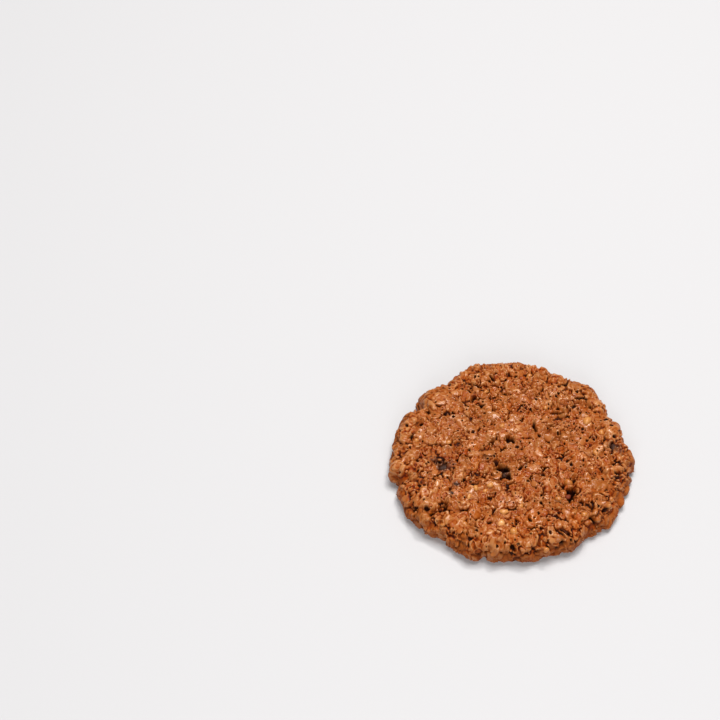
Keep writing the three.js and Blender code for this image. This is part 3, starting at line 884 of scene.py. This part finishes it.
def crust_cap(finish):
    """The middle of the top: the disc grid on the crust, closed by a wall and a floor inside the dough. Its
    texture map is its plan, with the inside small in a corner."""
    share, direction = disc_grid(CAP_STEPS)
    points, _, numbers = crust_points(share * CAP_REACH, direction)
    numbers = with_painted_edges(numbers, share.shape)
    index = np.arange(share.size).reshape(share.shape)
    rim = rim_of_grid(index)
    floor = points[rim] * (INSET, INSET, 0) + (0, 0, INSIDE)
    everything = np.concatenate([points, floor, [[0, 0, INSIDE]]])
    under = closed(np.arange(len(rim)) + len(points))
    wall = grid_triangles(np.stack([closed(rim), under]))
    triangles = [grid_triangles(index), wall, fan(under, len(everything) - 1)[:, ::-1]]
    numbers = {key: np.append(value, np.zeros(len(rim) + 1)) for key, value in numbers.items()}
    plan = np.stack([np.cos(direction), np.sin(direction)], -1)
    around = closed(rim_of_grid(plan))
    inner = CORNER + FLOOR_CHART * around
    chart = [
        0.5 + CAP_CHART * grid_triangles(plan * share[..., None]),
        grid_triangles(np.stack([CORNER + WALL_CHART * around, inner])),
        fan(inner, CORNER)[:, ::-1],
    ]
    triangles, chart = np.concatenate(triangles), np.concatenate(chart)
    cap = make_piece("crust_cap", everything, triangles, numbers, finish, "crust", chart)
    crease_edges(cap.data, rim)
    return cap


def crust_band(name, start, end, steps, under, finish, share):
    """A band of the crust between two lengths along the section, ring by ring, closed by rings under it,
    which lead back to its first. The crust gets a share of the texture map, and the rings under it the rest.
    The map has the band cut into strips, one over the other."""
    direction = rim_of_grid(disc_grid(CAP_STEPS)[1])
    along = np.linspace(start, end, steps + 1)
    points, _, numbers = crust_points(along[:, None], direction[None, :])
    numbers = with_painted_edges(numbers, (steps + 1, len(direction)))
    rings = points.reshape(steps + 1, len(direction), 3)
    rows = np.concatenate([rings, under(rings)])
    index = np.arange(rows.shape[0] * rows.shape[1]).reshape(rows.shape[:2])
    around = np.pad(index, (0, 1), mode="wrap")
    spare = len(rows) - len(rings)
    rise = np.append(np.linspace(0, share, steps + 1), np.linspace(share, 1, spare + 2)[1:])
    columns = len(direction) // STRIPS
    strip = np.stack(np.meshgrid(rise, np.linspace(*STRIP_ENDS, columns + 1), indexing="ij")[::-1], -1)
    triangles, chart = [], []
    for k in range(STRIPS):
        triangles.append(grid_triangles(around[:, k * columns : (k + 1) * columns + 1]))
        chart.append(grid_triangles(strip * (1, STRIP_FILL / STRIPS) + (0, (k + STRIP_GAP) / STRIPS)))
    triangles, chart = np.concatenate(triangles), np.concatenate(chart)
    inside = {key: np.full(spare * len(direction), 0.5 if key == "tone" else 0.0) for key in numbers}
    numbers = {key: np.concatenate([value, inside[key]]) for key, value in numbers.items()}
    band = make_piece(name, rows.reshape(-1, 3), triangles, numbers, finish, "crust", chart)
    crease_edges(band.data, index[0], index[steps])
    return band


def under_ring(rings):
    """The inside of the ring: a wall down from its outer edge and one from its inner edge."""
    walls = (rings[-1], INSET), (rings[0], OUTSET)
    return np.stack([ring * (share, share, 0) + (0, 0, INSIDE) for ring, share in walls])


def under_side(rings):
    """The base, from the foot of the side in to its middle, and the inside of the side over it."""
    foot = rings[-1] * (1, 1, 0)
    top = rings[0] * (1, 1, 0) + (0, 0, INSIDE)
    return np.stack([*(foot * share for share in BASE_RINGS), top * 0.0, top * TOP_OUTSET])


# ---- Flakes, grains, beads and fruit ----


def oval_corners(grid, low, high):
    """A closed oval's triangles from its rows of columns, its lower pole and its upper pole."""
    return np.concatenate([grid_triangles(grid)[:, ::-1], fan(grid[0], low)[:, ::-1], fan(grid[-1], high)])


def oval_triangles(rows, columns, copies):
    """The triangles of many closed ovals, and their places in a map with a square cell for each."""
    index = np.arange(rows * columns).reshape(rows, columns) + 1
    one = oval_corners(np.concatenate([index, index[:, :1]], axis=1), 0, rows * columns + 1)
    step = np.arange(copies) * (rows * columns + 2)
    rise, turn = np.arange(1, rows + 1) / (rows + 1), np.linspace(0, 1, columns + 1)
    grid = np.stack(np.meshgrid(rise, turn, indexing="ij")[::-1], -1)
    corners = oval_corners(grid, np.array([0.5, 0]), np.array([0.5, 1]))
    cells = math.ceil(math.sqrt(copies))
    cell = np.stack([np.arange(copies) % cells, np.arange(copies) // cells], -1)[:, None, None]
    chart = (cell + CELL_GAP + CELL_FILL * corners) / cells
    return (one[None] + step[:, None, None]).reshape(-1, 3), chart.reshape(-1, 3, 2)


def oval_points(half, curl, uneven, faces, seed):
    """Many closed ovals about their own middles: a sphere's latitude and longitude with a wavy radius,
    scaled, and curled, so that the height grows by the square of how far out along it a point lies."""
    rows, columns = faces
    latitude = np.linspace(-math.pi / 2, math.pi / 2, rows + 2)[1:-1]
    longitude = np.arange(columns) * 2 * math.pi / columns
    across = (np.outer(np.cos(latitude), turned(longitude)) for turned in (np.cos, np.sin))
    ring = np.stack([*across, np.outer(np.sin(latitude), np.ones(columns))], axis=-1).reshape(-1, 3)
    unit = np.concatenate([[[0, 0, -1]], ring, [[0, 0, 1]]])
    angle = np.arctan2(unit[:, 1], unit[:, 0])
    phase = 2 * math.pi * scattered(np.arange(len(half)), seed, 2)
    wave = np.cos(2 * angle + phase[:, :1]) + 0.7 * np.cos(3 * angle + phase[:, 1:])
    side = np.hypot(unit[:, 0], unit[:, 1])
    points = unit[None] * (1 + uneven * wave * side)[..., None] * half[:, None]
    points[..., 2] += curl[:, None] * half[:, :1] * 0.5 * (points[..., 0] / half[:, :1]) ** 2
    return points


def oval_piece(name, ovals, axes, middles, numbers, faces, finish, slot):
    """One mesh of many ovals, each carried to its place and its three directions."""
    points = middles[:, None] + sum(ovals[..., k, None] * axis[:, None] for k, axis in enumerate(axes))
    points[..., 2] = np.maximum(points[..., 2], LOWEST)
    numbers = {key: np.broadcast_to(value, points.shape[:2]).ravel() for key, value in numbers.items()}
    triangles, chart = oval_triangles(*faces, len(middles))
    return make_piece(name, points.reshape(-1, 3), triangles, numbers, finish, slot, chart)


def set_pieces(name, places, normals, kind, finish, slot, seed, level):
    """One mesh of many ovals set into the crust, each turned and tilted by its own numbers. Their fine
    number rises from the crease round each to its top: painted shade at the foot, painted highlight on top."""
    index = np.arange(len(places))
    half = between(np.transpose(kind["half"]), scattered(index, seed, 3))
    curl = between(kind["curl"], scatter(index, seed + 3))
    points = oval_points(half, curl, SET_UNEVEN, kind["faces"], seed + 8)
    tilt = np.radians(kind["tilt"]) * (2 * scatter(index, seed + 4) - 1)
    cos, sin = np.cos(tilt)[:, None], np.sin(tilt)[:, None]
    x, y, z = np.moveaxis(points, -1, 0)
    tilted = np.stack([x, y * cos - z * sin, y * sin + z * cos], -1)
    right, ahead = frames(normals, 2 * math.pi * scatter(index, seed + 5))
    middles = places + normals * (kind["raised"] * half[:, 2])[:, None]
    # Painted shade low on each piece and painted highlight on its top
    fine = level + 0.45 * np.clip(tilted[..., 2] / half[:, 2:], -1, 1)
    numbers = {"fine": fine, "pit": 0.0, "tone": scatter(index, seed + 6)[:, None], "stain": 0.0}
    return oval_piece(name, tilted, (right, ahead, normals), middles, numbers, kind["faces"], finish, slot)


def crust_at(x, y):
    """The places on the craggy crust over places in plan, with the smooth dough's normals."""
    direction = np.arctan2(y, x)
    inner = np.hypot(x, y) * MEAN_RADIUS / outline(direction)
    top = LENGTH <= LENGTH[np.argmax(RADIUS)]
    points, normals, _ = crust_points(np.interp(inner, RADIUS[top], LENGTH[top]), direction)
    return points, normals


def listed_pieces(name, table, raised, finish, slot, seed):
    """One mesh of ovals at listed places, each flat, turned to its direction, its last number its tone."""
    x, y, *half, turns, tones = np.array(table).T
    half, turns = np.stack(half, -1), np.radians(turns)
    places, normals = crust_at(x, y)
    points = oval_points(half, np.zeros(len(half)), LISTED_UNEVEN, LISTED_FACES, seed)
    right = np.stack([np.cos(turns), np.sin(turns), 0 * turns], -1)
    right -= normals * np.sum(right * normals, axis=1)[:, None]
    axes = (right, np.cross(normals, right), normals)
    middles = places + normals * (raised * half[:, 2])[:, None]
    return oval_piece(name, points, axes, middles, {"tone": tones[:, None]}, LISTED_FACES, finish, slot)


def crust_places(kind):
    """Places on the crust for pieces of a kind, off the calm plates and not too near the base."""
    count, turn = kind["count"], kind["turn"]
    index = np.arange(count)
    along = np.interp((index + 0.5) / count, AREA / AREA[-1], LENGTH)
    along = along + 1.6 * (scatter(index, turn) - 0.5)
    direction = np.radians(index * GOLDEN_TURN + turn) + 0.03 * (scatter(index, turn + 1) - 0.5)
    points, normals, numbers = crust_points(np.clip(along, 0, LENGTH[-1]), direction)
    smooth, _ = smooth_crust(along, direction)
    kept = (smooth[:, 2] > kind["lowest"]) & (numbers["pit"] < 0.3)
    kept &= calmness(smooth, normals) < 0.2 + 0.6 * scatter(index, turn + 2)
    return points[kept], normals[kept]


# ---- The table, the light and the camera ----

CAMERA_ELEVATION = 53.0
CAMERA_PLACE = (-58.7, -446.6, 661.1)
CAMERA_LENS = 102.1
TABLE_HALF = 6.0  # metres


def add_camera():
    """A camera at the photograph's angle, with a plain 36 mm sensor."""
    data = bpy.data.cameras.new("camera")
    data.lens, data.sensor_width = CAMERA_LENS, 36
    data.clip_start, data.clip_end = 0.01, 20
    camera = add_object("camera", data)
    camera.location = [value * MM for value in CAMERA_PLACE]
    camera.rotation_euler = (math.radians(90 - CAMERA_ELEVATION), 0, 0)
    bpy.context.scene.camera = camera


def add_table():
    """A wide level sheet under the cookie."""
    mesh = bpy.data.meshes.new("table")
    corners = [(x * TABLE_HALF, y * TABLE_HALF, 0) for x, y in ((-1, -1), (1, -1), (1, 1), (-1, 1))]
    mesh.from_pydata(corners, [], [(0, 1, 2, 3)])
    mesh.materials.append(table_finish("pale_table"))
    table = add_object("table", mesh)
    table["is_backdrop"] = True


def add_area_light(name, place, size, power, colour=(1, 1, 1)):
    """A square light at a place in millimetres that faces the middle of the table."""
    data = bpy.data.lights.new(name, "AREA")
    data.shape, data.size, data.energy, data.color = "SQUARE", size * MM, power, colour
    light = add_object(name, data)
    light.location = [value * MM for value in place]
    x, y, z = place
    light.rotation_euler = (0, math.atan2(math.hypot(x, y), z), math.atan2(y, x))


def add_light():
    """Plain studio light: an even surround, a large soft light nearly overhead, a small one behind it for
    the highlights, and a weak one from the front for the side."""
    world = bpy.data.worlds.new("studio")
    world.use_nodes = True
    surround = world.node_tree.nodes["Background"]
    surround.inputs["Color"].default_value = (1.0, 0.995, 1.0, 1)
    surround.inputs["Strength"].default_value = 0.22
    bpy.context.scene.world = world
    add_area_light("key", (95, 340, 1650), 1000, 30.2, (1.0, 0.995, 0.99))
    add_area_light("fill", (-40, -700, 420), 420, 2.3)
    add_area_light("glint", (160, 330, 880), 110, 2.3, (1.0, 0.95, 0.9))
    bpy.context.scene.view_settings.view_transform = "Standard"


add_camera()
add_table()
add_light()

crust = crust_finish("baked_crust", sheen=0.5)
side_crust = crust_finish("baked_side", sheen=0.2)
cap = crust_cap(crust)
ring = crust_band("crust_ring", CAP_REACH, RING_REACH, RING_STEPS, under_ring, crust, share=0.95)
side = crust_band("crust_side", RING_REACH, LENGTH[-1], SIDE_STEPS, under_side, side_crust, share=0.6)
flakes = set_pieces("oat_flakes", *crust_places(FLAKES), FLAKES, crust, "crust", seed=100, level=-0.1)
grains = set_pieces("oat_grains", *crust_places(GRAINS), GRAINS, crust, "crust", seed=200, level=0.0)
oats, skin = bead_finish("sugared_oats"), fruit_finish("dried_cranberry")
beads = listed_pieces("sugared_beads", BEADS, BEAD_RAISED, oats, "oats", seed=300)
fruit = listed_pieces("cranberry_bits", FRUIT, FRUIT_RAISED, skin, "fruit", seed=400)
for piece in (cap, ring, side, flakes, grains, beads, fruit):
    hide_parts("cookie")

repr([[list(map(float, corner)) for corner in box] for box in (cad_box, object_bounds())])
